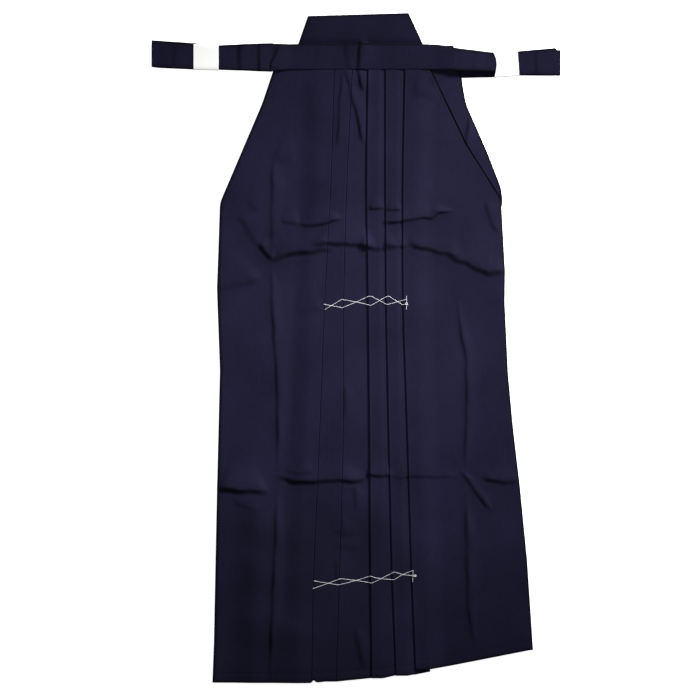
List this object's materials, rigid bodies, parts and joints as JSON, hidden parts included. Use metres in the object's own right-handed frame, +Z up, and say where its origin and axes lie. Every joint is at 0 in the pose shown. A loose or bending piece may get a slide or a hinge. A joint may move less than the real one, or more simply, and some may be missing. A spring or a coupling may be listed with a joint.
{
  "type": "hakama trousers",
  "caption": "Pleated divided hakama trousers laid flat, front up, with waistband, stiff back board, and straps folded into two paper-banded hanks.",
  "frame": {"origin": "middle of the footprint, on the surface that the garment lies on", "axes": "+X to the right of someone who looks down at the front, +Y towards the waist, +Z up out of the front"},
  "size_m": [0.6364, 1.0444, 0.012],
  "materials": {
    "navy_cloth": "matt navy twill with a faint sheen, and a soft shine along pressed edges",
    "paper": "plain white matt paper",
    "basting_thread": "soft white cotton thread"
  },
  "bodies": {
    "root": {"back_left": "navy_cloth", "back_right": "navy_cloth", "inner_leg_left": "navy_cloth", "inner_leg_right": "navy_cloth", "front_left": "navy_cloth", "front_right": "navy_cloth", "front_band": "navy_cloth", "back_board": "navy_cloth", "front_tie_left": "navy_cloth", "front_tie_right": "navy_cloth", "back_tie_left": "navy_cloth", "back_tie_right": "navy_cloth", "paper_band_left": "paper", "paper_band_right": "paper"}
  },
  "joints": []
}
